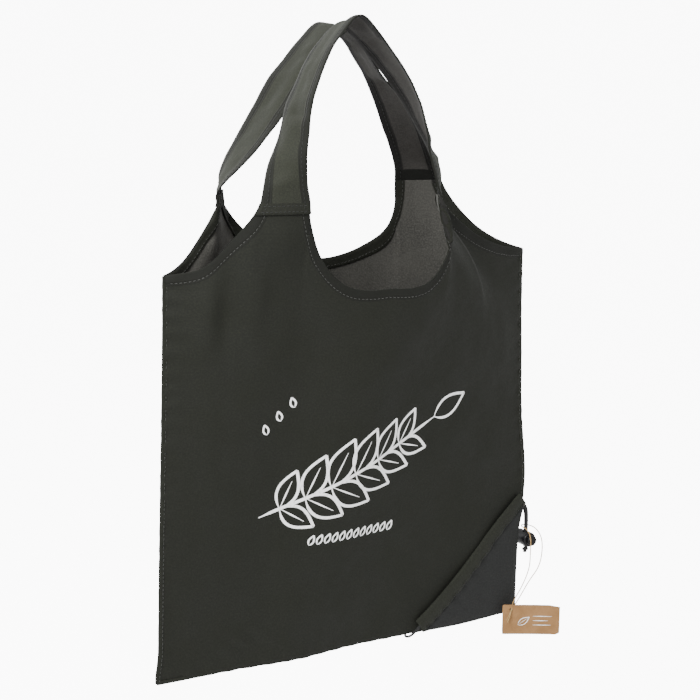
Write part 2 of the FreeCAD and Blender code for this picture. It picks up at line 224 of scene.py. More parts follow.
def mesh_object(name, points, faces, materials, uv=None, flat=False):
    """A mesh piece; uv gives each point's place on the cloth in metres."""
    data = bpy.data.meshes.new(name)
    data.from_pydata([tuple(p) for p in points], [], faces)
    data.update()
    for material in materials:
        data.materials.append(material)
    if uv is not None:
        layer = data.uv_layers.new(name="cloth")
        for loop in data.loops:
            layer.data[loop.index].uv = uv[loop.vertex_index]
    if not flat:
        data.shade_smooth()
    return link_object(name, data)


def closed_object(*args, **settings):
    """A mesh piece that encloses a volume, its faces turned outwards."""
    obj = mesh_object(*args, **settings)
    shape = bmesh.new()
    shape.from_mesh(obj.data)
    bmesh.ops.recalc_face_normals(shape, faces=shape.faces)
    shape.to_mesh(obj.data)
    shape.free()
    return obj


def grid_faces(rows, columns, flip=False, closed=False):
    """Quads over rows x columns of points; closed joins the last column to the first."""
    faces = []
    for row in range(rows - 1):
        for column in range(columns if closed else columns - 1):
            beside = (column + 1) % columns
            quad = [
                row * columns + column,
                row * columns + beside,
                (row + 1) * columns + beside,
                (row + 1) * columns + column,
            ]
            faces.append(quad[::-1] if flip else quad)
    return faces


def thicken(obj, thickness, offset=-1.0, inside=0):
    """Gives a sheet its thickness; inside is how many material slots further its inner side's material is."""
    modifier = obj.modifiers.new("thickness", "SOLIDIFY")
    modifier.thickness = thickness
    modifier.offset = offset
    modifier.use_even_offset = False
    modifier.material_offset = inside


# ---------------------------------------------------------------- camera
CAMERA_PLACE = (-0.867, -1.4032, 0.0271)
CAMERA_TURN = -32.234
CAMERA_DIP = 11.43
CAMERA_ROLL = 0.949
CAMERA_LENS = 93.6


def make_camera():
    """From the front left and about level with the handles."""
    data = bpy.data.cameras.new("camera")
    data.sensor_width = 36.0
    data.lens = CAMERA_LENS
    data.clip_end = 1000.0
    camera = link_object("camera", data)
    turn = Matrix.Rotation(math.radians(CAMERA_TURN), 4, "Z")
    tilt = Matrix.Rotation(math.radians(90 - CAMERA_DIP), 4, "X")
    roll = Matrix.Rotation(math.radians(CAMERA_ROLL), 4, "Z")
    camera.matrix_world = Matrix.Translation(CAMERA_PLACE) @ turn @ tilt @ roll
    bpy.context.scene.camera = camera


# ---------------------------------------------------------------- shader helpers
def add_node(tree, kind, inputs=None, **settings):
    node = tree.nodes.new(kind)
    for key, value in settings.items():
        setattr(node, key, value)
    for key, value in (inputs or {}).items():
        if isinstance(value, bpy.types.NodeSocket):
            tree.links.new(value, node.inputs[key])
        else:
            node.inputs[key].default_value = value
    return node


def maths(tree, operation, a, b=0.0):
    return add_node(tree, "ShaderNodeMath", {0: a, 1: b}, operation=operation).outputs[0]


def ramp(tree, value, low, high, to_low=0.0, to_high=1.0):
    """value from low..high to to_low..to_high, smoothly and clamped."""
    inputs = {"Value": value, "From Min": low, "From Max": high, "To Min": to_low, "To Max": to_high}
    return add_node(tree, "ShaderNodeMapRange", inputs, interpolation_type="SMOOTHSTEP").outputs[0]


def noise_node(tree, where, scale, detail=3.0, roughness=0.5):
    inputs = {"Vector": where, "Scale": scale, "Detail": detail, "Roughness": roughness}
    return add_node(tree, "ShaderNodeTexNoise", inputs).outputs[0]


def blend_colour(tree, share, a, b):
    node = add_node(tree, "ShaderNodeMix", data_type="RGBA")
    for index, value in ((0, share), (6, a), (7, b)):
        if isinstance(value, bpy.types.NodeSocket):
            tree.links.new(value, node.inputs[index])
        else:
            node.inputs[index].default_value = value
    return node.outputs[2]


def new_material(name, roughness, **values):
    material = bpy.data.materials.new(name)
    material.use_nodes = True
    shader = material.node_tree.nodes["Principled BSDF"]
    shader.inputs["Roughness"].default_value = roughness
    for key, value in values.items():
        shader.inputs[key.replace("_", " ")].default_value = value
    return material, material.node_tree, shader


def object_place(tree):
    return add_node(tree, "ShaderNodeTexCoord").outputs["Object"]


def set_looks(tree, shader, tone, rough=None):
    tree.links.new(tone, shader.inputs["Base Color"])
    if rough is not None:
        tree.links.new(rough, shader.inputs["Roughness"])


def set_bump(tree, shader, height, strength, distance):
    inputs = {"Height": height, "Strength": strength, "Distance": distance}
    tree.links.new(add_node(tree, "ShaderNodeBump", inputs).outputs[0], shader.inputs["Normal"])


def rgba(colour, level=1.0):
    return (colour[0] * level, colour[1] * level, colour[2] * level, 1.0)


def weave_height(tree, where, pitch):
    """Plain weave: threads going over and under across each other."""
    parts = add_node(tree, "ShaderNodeSeparateXYZ", {0: where})
    turn = 2 * math.pi / pitch
    across = maths(tree, "SINE", maths(tree, "MULTIPLY", parts.outputs[0], turn))
    along = maths(tree, "SINE", maths(tree, "MULTIPLY", parts.outputs[1], turn))
    return maths(tree, "MULTIPLY", across, along)


def hem_distance(tree, where):
    """Distance on the cloth from the nearest hemmed edge of a panel: neckline or armhole."""
    parts = add_node(tree, "ShaderNodeSeparateXYZ", {0: where})
    from_middle = maths(tree, "ABSOLUTE", parts.outputs[0])
    folded = add_node(tree, "ShaderNodeCombineXYZ", {0: from_middle, 1: parts.outputs[1]}).outputs[0]
    away = []
    for centre, radius in (((0, NECK_HEIGHT, 0), NECK_RADIUS), ((ARM_REACH, ARM_HEIGHT, 0), ARM_RADIUS)):
        gap = add_node(tree, "ShaderNodeVectorMath", {0: folded, 1: centre}, operation="DISTANCE")
        away.append(maths(tree, "SUBTRACT", gap.outputs["Value"], radius))
    return maths(tree, "MINIMUM", away[0], away[1])


def strap_edge_distance(tree, where):
    """Distance on a strap from its nearest long edge."""
    across = add_node(tree, "ShaderNodeSeparateXYZ", {0: where}).outputs[0]
    return maths(tree, "MINIMUM", across, maths(tree, "SUBTRACT", STRAP_WIDTH, across))


def cloth_material(name, colour, level=1.0, sheen=0.03, mottle=0.2, hems=None, streaks=0.1, hem_level=0.7):
    """Plain-woven polyester: threads, small crumples, soft mottling and a faint sheen, and, where it has
    hems, a painted shade along them.
    """
    material, tree, shader = new_material(name, 0.78, Sheen_Weight=sheen, Sheen_Roughness=0.45)
    shader.inputs["Sheen Tint"].default_value = (0.85, 0.87, 0.82, 1.0)
    shader.inputs["Specular IOR Level"].default_value = 0.22
    where = add_node(tree, "ShaderNodeUVMap", uv_map="cloth").outputs[0]
    weave = weave_height(tree, where, 0.0011)
    slub = noise_node(tree, where, 900.0, 2.0)
    patches = noise_node(tree, where, 22.0, 4.0, 0.6)
    long_way = add_node(tree, "ShaderNodeMapping", {"Vector": where, "Scale": (60.0, 7.0, 1.0)}).outputs[0]
    streak = noise_node(tree, long_way, 1.0, 3.0)
    dark = rgba(colour, level * (1 - mottle))
    light = rgba(colour, level * (1 + mottle))
    tone = blend_colour(tree, ramp(tree, patches, 0.3, 0.7), dark, light)
    streak = ramp(tree, streak, 0.35, 0.75, 0.0, streaks * 2)
    tone = blend_colour(tree, streak, tone, rgba(colour, level * 1.5))
    thread = ramp(tree, maths(tree, "ADD", weave, maths(tree, "MULTIPLY", slub, 0.8)), -0.8, 1.4, 0.0, 0.5)
    tone = blend_colour(tree, thread, tone, rgba(colour, level * 1.7))
    grain = noise_node(tree, where, 620.0, 2.0, 0.7)
    tone = blend_colour(tree, ramp(tree, grain, 0.38, 0.68, 0.0, 0.75), tone, rgba(colour, level * 2.1))
    height = maths(tree, "MULTIPLY", weave, 0.00005)
    crumple = noise_node(tree, where, 55.0, 4.0, 0.55)
    height = maths(tree, "ADD", height, maths(tree, "MULTIPLY", crumple, 0.0011))
    if hems:
        away = hems(tree, where)
        hem_fold_and_painted_shade = ramp(tree, away, HEM - 0.0012, HEM + 0.0004, 1.0, 0.0)
        groove = maths(tree, "SUBTRACT", away, HEM_STITCH)
        groove = ramp(tree, maths(tree, "ABSOLUTE", groove), 0.0, 0.0016, 1.0, 0.0)
        # painted shade: the hem band's colour is drawn darker than the cloth, standing in for the shade along
        # the folded edge
        tone = blend_colour(tree, maths(tree, "MULTIPLY", hem_fold_and_painted_shade, 0.92), tone, rgba(colour, level * hem_level))
        height = maths(tree, "ADD", height, maths(tree, "MULTIPLY", hem_fold_and_painted_shade, 0.0005))
        height = maths(tree, "SUBTRACT", height, maths(tree, "MULTIPLY", groove, 0.0004))
    rough = ramp(tree, patches, 0.2, 0.8, 0.70, 0.86)
    set_looks(tree, shader, tone, rough)
    set_bump(tree, shader, height, 0.8, 1.0)
    return material


def fibre_material(name, colour, other, pitch, roughness=0.7, sheen=0.3):
    """Braided or twisted cord, from object coordinates."""
    material, tree, shader = new_material(name, roughness, Sheen_Weight=sheen, Sheen_Roughness=0.4)
    where = object_place(tree)
    inputs = {"Vector": where, "Scale": 1.0 / pitch, "Distortion": 1.5, "Detail": 1.0}
    strands = add_node(tree, "ShaderNodeTexWave", inputs, bands_direction="DIAGONAL").outputs["Fac"]
    fuzz = noise_node(tree, where, 1500.0, 3.0)
    share = maths(tree, "MULTIPLY", strands, fuzz)
    tone = blend_colour(tree, ramp(tree, share, 0.05, 0.6), rgba(colour), rgba(other))
    set_looks(tree, shader, tone)
    height = maths(tree, "ADD", strands, maths(tree, "MULTIPLY", fuzz, 0.6))
    set_bump(tree, shader, height, 0.6, 0.0003)
    return material


def plastic_material():
    """Glossy moulded plastic with fine scuffs."""
    material, tree, shader = new_material("lock_plastic", 0.38)
    shader.inputs["Specular IOR Level"].default_value = 0.22
    where = object_place(tree)
    grain = noise_node(tree, where, 700.0, 4.0)
    scuffs = noise_node(tree, where, 160.0, 5.0, 0.7)
    tone = blend_colour(tree, grain, (0.0025, 0.0025, 0.003, 1), (0.006, 0.006, 0.007, 1))
    set_looks(tree, shader, tone, ramp(tree, scuffs, 0.3, 0.75, 0.3, 0.45))
    set_bump(tree, shader, grain, 0.15, 0.0002)
    return material


def steel_material():
    """Drawn spring wire."""
    material, tree, shader = new_material("spring_steel", 0.3, Metallic=1.0)
    where = object_place(tree)
    drawn = noise_node(tree, where, 900.0, 3.0)
    tone = blend_colour(tree, drawn, (0.45, 0.45, 0.46, 1), (0.65, 0.65, 0.66, 1))
    set_looks(tree, shader, tone, ramp(tree, drawn, 0.2, 0.8, 0.22, 0.4))
    return material


def kraft_material():
    """Recycled kraft card: warm brown, long pale and dark fibres, rough tooth."""
    material, tree, shader = new_material("kraft_card", 0.85)
    where = object_place(tree)
    cloud = noise_node(tree, where, 60.0, 5.0, 0.6)
    fibre_scale = (400.0, 400.0, 2400.0)
    fibres = add_node(tree, "ShaderNodeMapping", {"Vector": where, "Scale": fibre_scale}).outputs[0]
    streak = noise_node(tree, fibres, 1.0, 4.0, 0.7)
    tone = blend_colour(tree, ramp(tree, cloud, 0.3, 0.7), (0.215, 0.108, 0.036, 1), (0.275, 0.145, 0.054, 1))
    tone = blend_colour(tree, ramp(tree, streak, 0.58, 0.8, 0.0, 0.5), tone, (0.42, 0.25, 0.11, 1))
    tone = blend_colour(tree, ramp(tree, streak, 0.22, 0.38, 0.4, 0.0), tone, (0.2, 0.11, 0.05, 1))
    set_looks(tree, shader, tone)
    set_bump(tree, shader, streak, 0.4, 0.0001)
    return material


def ink_material():
    """White screen print, slightly worn."""
    material, tree, shader = new_material("print_white", 0.55)
    where = object_place(tree)
    wear = noise_node(tree, where, 350.0, 5.0, 0.65)
    tone = blend_colour(tree, ramp(tree, wear, 0.32, 0.5), (0.7, 0.7, 0.69, 1), (0.95, 0.95, 0.94, 1))
    set_looks(tree, shader, tone, ramp(tree, wear, 0.3, 0.7, 0.7, 0.45))
    set_bump(tree, shader, wear, 0.3, 0.0002)
    return material


OLIVE = (0.0052, 0.0057, 0.0037)
INSIDE = (0.036, 0.035, 0.031)
STRAP_INSIDE = (0.021, 0.0195, 0.0178)
POUCH_GREY = (0.0084, 0.0088, 0.0085)
CORD_BLACK, CORD_GREY = (0.003, 0.003, 0.003), (0.011, 0.011, 0.011)
TWINE_BROWN, TWINE_STRAW = (0.30, 0.16, 0.035), (0.62, 0.42, 0.18)
DARK_THREAD, DARK_THREAD_TOP = (0.003, 0.003, 0.0027), (0.014, 0.014, 0.013)
THREAD, THREAD_TOP = (0.014, 0.014, 0.012), (0.05, 0.05, 0.045)
MATERIALS = {
    "cloth": cloth_material("cloth", OLIVE, hems=hem_distance, hem_level=0.95),
    # painted light: the straps are the olive cloth at twice its level, a lit copy standing in for the light
    # falling on them; their long edges get painted shade
    "strap": cloth_material("strap", OLIVE, level=2.0, sheen=0.08, hems=strap_edge_distance, hem_level=0.5),
    "inside": cloth_material(
        "cloth_inside", INSIDE, sheen=0.04, mottle=0.4, streaks=0.2, hems=hem_distance, hem_level=0.2
    ),
    "strap_inside": cloth_material(
        "strap_inside", STRAP_INSIDE, sheen=0.03, mottle=0.4, hems=strap_edge_distance, hem_level=0.22
    ),
    # painted shade: the seam material is the olive cloth at 0.4 of its level, standing in for the shade
    # inside the straps' sewn ends
    "seam": cloth_material("seam", OLIVE, level=0.4, sheen=0.0, mottle=0.1),
    "hem": cloth_material("hem", OLIVE, level=1.2, mottle=0.15),
    "pouch": cloth_material("pouch_cloth", POUCH_GREY, sheen=0.03),
    "casing": cloth_material("casing", OLIVE, level=1.5),
    "cord": fibre_material("drawcord", CORD_BLACK, CORD_GREY, 0.0012, 0.75, 0.04),
    "twine": fibre_material("twine", TWINE_BROWN, TWINE_STRAW, 0.0009),
    "dark_thread": fibre_material("dark_thread", DARK_THREAD, DARK_THREAD_TOP, 0.0006, 0.6, 0.02),
    "thread": fibre_material("thread", THREAD, THREAD_TOP, 0.0006, 0.5, 0.1),
    "plastic": plastic_material(),
    "steel": steel_material(),
    "kraft": kraft_material(),
    "ink": ink_material(),
}


# ---------------------------------------------------------------- cords
CORD_WIDTH = 0.0024
TWINE_WIDTH = 0.0010


def cord_curve(name, diameter, material, along, around):
    """A round cord with no run yet; along and around are the steps of its surface."""
    curve = bpy.data.curves.new(name, "CURVE")
    curve.dimensions = "3D"
    curve.resolution_u = along
    curve.bevel_depth = diameter / 2
    curve.bevel_resolution = around
    curve.use_fill_caps = True
    curve.materials.append(material)
    return curve


def add_run(curve, route, order=3, closed=False):
    """A smooth run of cord whose control points are the route's points."""
    line = curve.splines.new("NURBS")
    line.points.add(len(route) - 1)
    for point, place in zip(line.points, route):
        point.co = (*place, 1.0)
    line.order_u = order
    line.use_endpoint_u = not closed
    line.use_cyclic_u = closed


def nurbs_cord(name, route, diameter, material):
    curve = cord_curve(name, diameter, material, 10, 5)
    add_run(curve, route)
    return link_object(name, curve)


def drawcord_route():
    """Knot, up through the cord lock, along the front casing, round the bottom and back the same way."""
    x = LOCK_X
    way = [
        (x, 0.0015, -0.532),
        (x, 0.0015, -0.514),
        (x, 0.0017, -0.498),
        (x - 0.0025, 0.0025, -0.488),
        (x - 0.0115, 0.0031, -0.4805),
        (x - 0.024, 0.0039, -0.491),
        (x - 0.058, 0.0055, -0.523),
        (x - 0.097, 0.0061, -0.559),
        (x - 0.130, 0.0065, -0.5895),
        (x - 0.141, 0.0059, -0.600),
    ]
    front = [(px, -py, pz) for px, py, pz in way]
    return front + [(x - 0.1445, 0.0, -0.6025)] + way[::-1]


TAG_TURN = math.radians(31)
TAG_CORNER = Vector((0.196, -0.013, -0.584))
TAG_SIZE = (0.058, 0.031)
TAG_HOLE = (0.009, 0.005)
TAG_HOLE_RADIUS = 0.0017
CARD_THICK = 0.0006
TAG_INK_LIFT = 0.00042
TAG_ACROSS = Vector((math.cos(TAG_TURN), -math.sin(TAG_TURN), 0))
TAG_OUT = Vector((-math.sin(TAG_TURN), -math.cos(TAG_TURN), 0))


def twine_route():
    """Tail, through the tag's hole, up round both strands above the cord lock and down again."""
    x = LOCK_X
    hole = TAG_CORNER + TAG_ACROSS * TAG_HOLE[0] - Vector((0, 0, TAG_HOLE[1]))
    left = [
        (hole.x - 0.0070, hole.y - 0.0034, hole.z - 0.0110),
        (hole.x - 0.0036, hole.y - 0.0026, hole.z - 0.0055),
        (hole.x - 0.0007, hole.y - 0.0005, hole.z - 0.0006),
        (hole.x + 0.0034, hole.y + 0.0026, hole.z + 0.0070),
        (x - 0.0140, hole.y + 0.0032, hole.z + 0.0200),
        (x - 0.0070, -0.0176, -0.549),
        (x - 0.0066, -0.0174, -0.532),
        (x - 0.0060, -0.0166, -0.517),
        (x - 0.0052, -0.0090, -0.5104),
        (x - 0.0052, 0.0014, -0.5102),
        (x - 0.0004, 0.0064, -0.5100),
    ]
    right = [
        (x + 0.0052, 0.0016, -0.5102),
        (x + 0.0056, -0.0090, -0.5106),
        (x + 0.0074, -0.0168, -0.518),
        (x + 0.0086, -0.0176, -0.532),
        (x + 0.0054, -0.0176, -0.549),
        (x - 0.0044, hole.y + 0.0034, hole.z + 0.0260),
        (x - 0.0170, hole.y + 0.0030, hole.z + 0.0090),
        (hole.x + 0.0007, hole.y - 0.0001, hole.z + 0.0005),
        (hole.x - 0.0029, hole.y - 0.0014, hole.z - 0.0042),
        (hole.x - 0.0070, hole.y - 0.0016, hole.z - 0.0096),
    ]
    return left + right


def make_cords():
    drawcord = nurbs_cord("drawcord_line", drawcord_route(), CORD_WIDTH, MATERIALS["cord"])
    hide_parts("drawcord")
    belongs("bag", "cord", drawcord)
    twine = nurbs_cord("tag_twine_line", twine_route(), TWINE_WIDTH, MATERIALS["twine"])
    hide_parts("tag_twine")
    belongs("tag", "twine", twine)
    return drawcord, twine


# ---------------------------------------------------------------- the shape of the hanging cloth
def rise(z):
    """0 at the bottom seam to 1 at the seams of the handles."""
    return clamp((z - BOTTOM) / (SEAM - BOTTOM))


def belly_out(x, z):
    """How far a panel stands off the bag's middle plane, x from the bag's middle."""
    swell = math.sin(math.pi / 2 * rise(z)) ** 2
    belly = mix(BELLY_FOOT, BELLY_HEAD, swell)
    return SEAM_GAP + belly * max(1 - (x / HALF_WIDTH) ** 2, 0)


# fan of small folds round each panel's pulled shoulder: its middle's x, folds in a turn, phase,
# height and distance from the middle
FANS = {FRONT: (0.085, 11, 0.6, 0.0003, 0.060), BACK: (-0.105, 12, 0.0, 0.0008, 0.052)}
# soft lobes of the front, as height, middle and spread along X, middle and spread along Z: three
# under the left armhole, then the bulge below the left shoulder
FRONT_LOBES = [
    (0.0045, -0.168, 0.011, -0.262, 0.040),
    (-0.0034, -0.149, 0.009, -0.255, 0.036),
    (0.0040, -0.128, 0.011, -0.246, 0.038),
    (0.0075, -0.104, 0.028, -0.192, 0.022),
]


def cloth_folds(side, x, z):
    """Wrinkles and soft folds, outwards, in metres."""
    inner = smooth((HALF_WIDTH - abs(x)) / 0.035)
    high = rise(z)
    lobes = wobble(x * 13, z * 3.2, side + 2) * 0.0042 * (0.35 + 0.65 * high)
    crumple = wobble(x * 38, z * 26, side + 5) * 0.0007 + wobble(x * 85, z * 60, side + 8) * 0.00022
    seam = bump(HALF_WIDTH - abs(x), 0.0, 0.013)
    pucker = math.sin(z * 2 * math.pi / 0.0165 + 2.2 * wobble(z * 30, x, 3)) * 0.0010 * seam
    foot = bump(z, BOTTOM, 0.012) * math.sin(x * 2 * math.pi / 0.019 + 2 * wobble(x * 25, z, 4)) * 0.0006
    total = lobes + crumple
    fan_x, folds, phase, height, fan_reach = FANS[side]
    dx, dz = x - fan_x, z + 0.175
    fan = bump(math.hypot(dx, dz), fan_reach, 0.036)
    total += math.cos(math.atan2(dz, dx) * folds + phase) * height * fan
    if side == FRONT:
        # broad ridge slanting from under the neckline to the left of the bottom seam
        fall = (-0.24 - z) / 0.35
        ridge = bump(x, 0.025 - 0.085 * fall, 0.042 + 0.012 * clamp(fall))
        total += 0.010 * ridge * smooth((fall + 0.25) / 0.4)
        # hollow between it and the strap's pull at the left
        total -= 0.0040 * bump(x, -0.075 - 0.03 * fall, 0.026) * bump(fall, 0.25, 0.35)
        for height, middle_x, spread_x, middle_z, spread_z in FRONT_LOBES:
            total += height * bump(x, middle_x, spread_x) * bump(z, middle_z, spread_z)
        # short slanting folds above the bottom left corner
        slant = (x + 0.115) * 0.8 + (z + 0.572)
        corner = bump(x, -0.115, 0.03)
        total += 0.0011 * math.cos(slant * 2 * math.pi / 0.020) * corner * bump(z, -0.572, 0.016)
    return total * inner + pucker + foot


def side_bulge(x, z):
    """The right side seam bows outwards above the corner pouch, and both lower corners flare a little."""
    right = smooth((x - 0.10) / 0.10)
    bow = 0.0085 * bump(z, -0.455, 0.055) * (1 - 0.25 * bump(z, -0.52, 0.02)) + 0.002 * bump(z, -0.35, 0.06)
    flare = 0.0032 * bump(z, BOTTOM, 0.020) * smooth((-x - 0.17) / 0.03)
    return right * bow - flare


def bottom_wave(x):
    """How far the bottom seam rises or sags along its length."""
    return 0.0018 * wobble(x * 9, 0.4, 9) - 0.0022 * bump(x, 0.13, 0.055)


def place_cloth(side, x, z, pull=(0, 0, 0)):
    """Point of a panel in the bag's frame, from its place on the flat cut and its shoulder's pull."""
    narrow = 1 - 0.028 * smooth(rise(z) / 0.86)
    y = max(belly_out(x, z) + cloth_folds(side, x, z) + pull[1], 0.0005)
    dip = bottom_wave(x) * (1 - rise(z)) ** 3
    return Vector((BAG_MIDDLE + x * narrow + side_bulge(x, z) + pull[0], side * y, z + pull[2] + dip))


# first and last angle of an armhole's arc, and how far the neckline's arc runs past half a turn at each end
ARM_LOW = math.atan2(-math.sqrt(ARM_RADIUS**2 - (ARM_REACH - HALF_WIDTH) ** 2), ARM_REACH - HALF_WIDTH)
ARM_HIGH = math.asin((SEAM - ARM_HEIGHT) / ARM_RADIUS)
NECK_LIFT = math.asin((SEAM - NECK_HEIGHT) / NECK_RADIUS)


def panel_rim():
    """Top edge of the flat cut from the left side seam to the right: (x, z, leg, place in PULL)."""
    rim = []
    arm_steps, strap_steps, neck_steps = 28, 14, 36
    for step in range(arm_steps):
        share = step / arm_steps
        angle = mix(ARM_LOW, ARM_HIGH, share)
        x = -ARM_REACH + ARM_RADIUS * math.cos(angle)
        rim.append((x, ARM_HEIGHT + ARM_RADIUS * math.sin(angle), 3 * share))
    strap_out = -ARM_REACH + ARM_RADIUS * math.cos(ARM_HIGH)
    strap_in = -NECK_RADIUS * math.cos(NECK_LIFT)
    for step in range(strap_steps):
        share = step / strap_steps
        rim.append((mix(strap_out, strap_in, share), SEAM, 3 + share))
    for step in range(neck_steps + 1):
        share = step / neck_steps
        angle = mix(math.pi - NECK_LIFT, 1.5 * math.pi, share)
        x = NECK_RADIUS * math.cos(angle)
        rim.append((x, NECK_HEIGHT + NECK_RADIUS * math.sin(angle), 4 + 3 * share))
    left = [(x, z, -1, place) for x, z, place in rim]
    right = [(-x, z, 1, place) for x, z, place in reversed(rim[:-1])]
    return left + right


def pull_at(side, leg, place):
    """The pull at a place 0..7 round a shoulder, in metres."""
    return spline(PULL[side, leg], place / 7) / 1000


RIM = panel_rim()
PANEL_ROWS = 116


def panel_columns(side):
    """For each column of a panel: top (x, z), place along the bottom seam and pull."""
    lengths = [0.0]
    for a, b in zip(RIM, RIM[1:]):
        lengths.append(lengths[-1] + math.hypot(b[0] - a[0], b[1] - a[1]))
    columns = []
    for (x, z, leg, place), reach in zip(RIM, lengths):
        foot = -HALF_WIDTH + 2 * HALF_WIDTH * reach / lengths[-1]
        columns.append((x, z, foot, pull_at(side, leg, place)))
    return columns


COLUMNS = {side: panel_columns(side) for side in (FRONT, BACK)}


def column_place(side, column, z):
    """Flat x and placed point where a column crosses the height z."""
    top_x, top_z, foot, pull = column
    x = mix(top_x, foot, (top_z - z) / (top_z - BOTTOM))
    fade = math.exp(-(((top_z - z) / PULL_REACH) ** 2))
    return x, place_cloth(side, x, z, pull * fade)


def cloth_point(side, x, z):
    """Placed point of the flat cut's place (x, z), between the two columns that pass it."""
    columns = COLUMNS[side]
    before = None
    for index, (top_x, top_z, foot, _) in enumerate(columns):
        if top_z < z - 1e-6:
            continue
        here = mix(top_x, foot, (top_z - z) / (top_z - BOTTOM))
        if here < x:
            before = index
            continue
        if before is None:
            return column_place(side, columns[index], z)[1]
        left, low = column_place(side, columns[before], z)
        right, high = column_place(side, columns[index], z)
        return low.lerp(high, clamp((x - left) / (right - left)))
    return column_place(side, columns[before], z)[1]


def cloth_frame(side, x, z):
    """Placed point of (x, z) and the cloth's outward normal there."""
    step = 0.0015
    here = cloth_point(side, x, z)
    inner = -step if x > 0 else step
    across = (cloth_point(side, x + inner, z - step) - here) * (-1 if x > 0 else 1)
    down = cloth_point(side, x, z - 2 * step) - here
    normal = across.cross(down).normalized() * side
    return here, normal


def panel_grid(side):
    """Rows of points from the top edge down to the bottom seam, and each point's place on the flat cut."""
    points, flat = [], []
    for row in range(PANEL_ROWS):
        share = (row / (PANEL_ROWS - 1)) ** 1.15
        for column in COLUMNS[side]:
            z = mix(column[1], BOTTOM, share)
            x, place = column_place(side, column, z)
            points.append(place)
            flat.append((x, z))
    return points, flat


# each panel's surface, once the panel is made
SURFACES = {}


def make_panel(side):
    """One panel, from its hemmed top edge down to the bottom seam."""
    points, flat = panel_grid(side)
    faces = grid_faces(PANEL_ROWS, len(RIM), flip=side == FRONT)
    materials = [MATERIALS["cloth"], MATERIALS["inside"]]
    panel = mesh_object(f"{WORD[side]}_cloth", points, faces, materials, flat)
    thicken(panel, CLOTH, inside=1)
    SURFACES[side] = BVHTree.FromPolygons(points, faces)
    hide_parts(f"{WORD[side]}_panel")
    belongs("bag", "cloth", panel)
    return panel


# ---------------------------------------------------------------- hems, seams and stitches
def normal_at(surface, point):
    """The surface's normal at its nearest place to a point."""
    return surface.find_nearest(point)[1]


# angle of the armhole's arc that its hem leaves free at the side seam
HEM_START = 0.02
# the three hemmed edges of the flat cut: name, circle's centre and radius, first and last angle
HEM_EDGES = [
    ("left_armhole", (-ARM_REACH, ARM_HEIGHT), ARM_RADIUS, ARM_LOW + HEM_START, ARM_HIGH),
    ("neckline", (0.0, NECK_HEIGHT), NECK_RADIUS, math.pi - NECK_LIFT, 2 * math.pi + NECK_LIFT),
    ("right_armhole", (ARM_REACH, ARM_HEIGHT), ARM_RADIUS, math.pi - ARM_HIGH, math.pi - ARM_LOW - HEM_START),
]
HEM_STEP = 0.0025


def hem_line(side, edge, distance, lift):
    """Points and outward normals at a distance in from a hemmed edge, lifted off the cloth."""
    _, (cx, cz), radius, first, last = edge
    count = int(abs(last - first) * radius / HEM_STEP)
    places = []
    for index in range(count + 1):
        angle = mix(first, last, index / count)
        x = cx + (radius + distance) * math.cos(angle)
        z = min(cz + (radius + distance) * math.sin(angle), SEAM - 0.0001)
        places.append(cloth_point(side, x, z))
    faced = [normal_at(SURFACES[side], place) for place in places]
    line = []
    for index, place in enumerate(places):
        normal = sum(faced[max(index - 3, 0):index + 4], Vector()).normalized()
        line.append((place + normal * lift, normal))
    return line


def edge_band(name, side, edge, lift):
    """Folded hem lying along the inner face of a panel's edge: a soft flat tube."""
    across = [(0.0, 0.0), (0.0004, 0.0005), (0.003, 0.0006), (0.0078, 0.0004)]
    across += [(0.0095, 0.0006), (0.0099, 0.0001), (0.0095, -0.0002), (0.003, -0.0002)]
    lines = []
    for distance, height in across:
        wave = hem_line(side, edge, distance + 0.0002, 0.0)
        ripple = [0.00022 * wobble(index * 0.4, distance * 90, 5) for index in range(len(wave))]
        lines.append([place - normal * (lift + height + bend) for (place, normal), bend in zip(wave, ripple)])
    rows = len(lines[0])
    points = [lines[column][row] for row in range(rows) for column in range(len(across))]
    uv = [(row * HEM_STEP, across[column][0]) for row in range(rows) for column in range(len(across))]
    faces = grid_faces(rows, len(across), closed=True)
    return closed_object(name, points, faces, [MATERIALS["hem"]], uv)


STITCH_LENGTH = 0.0030
STITCH_GAP = 0.0009
STITCH_DIP = 0.0004
THREAD_RADIUS = 0.00028
THREAD_FLATNESS = 1.25


def stitch_row(points, faces, line):
    """Adds thread stitches along a line of (place, normal)."""
    places = [p for p, _ in line]
    normals = [n for _, n in line]
    reach = [0.0]
    for a, b in zip(places, places[1:]):
        reach.append(reach[-1] + (b - a).length)
    count = int(reach[-1] / (STITCH_LENGTH + STITCH_GAP))
    index = 0
    sides = 6
    for number in range(count):
        middle = (number + 0.5) * reach[-1] / count
        while index < len(places) - 2 and reach[index + 1] < middle:
            index += 1
        span = reach[index + 1] - reach[index] or 1
        share = (middle - reach[index]) / span
        centre = places[index].lerp(places[index + 1], share)
        up = normals[index].lerp(normals[index + 1], share).normalized()
        along = (places[index + 1] - places[index]).normalized()
        beside = up.cross(along)
        first = len(points)
        for t, swell in ((-1, 0.35), (-0.6, 0.9), (0, 1.0), (0.6, 0.9), (1, 0.35)):
            ring = centre + along * (t * STITCH_LENGTH / 2) - up * (t * t * STITCH_DIP)
            for corner in range(sides):
                angle = 2 * math.pi * corner / sides
                out = beside * math.cos(angle) * THREAD_FLATNESS + up * math.sin(angle)
                points.append(ring + out * THREAD_RADIUS * swell)
        for ring in range(4):
            for corner in range(sides):
                a = first + ring * sides + corner
                b = first + ring * sides + (corner + 1) % sides
                faces.append((a, b, b + sides, a + sides))
        faces.append(tuple(first + corner for corner in reversed(range(sides))))
        faces.append(tuple(first + 4 * sides + corner for corner in range(sides)))


HEM_BAND_LIFT = CLOTH + 0.0008
INNER_STITCH_LIFT = CLOTH + 0.0014


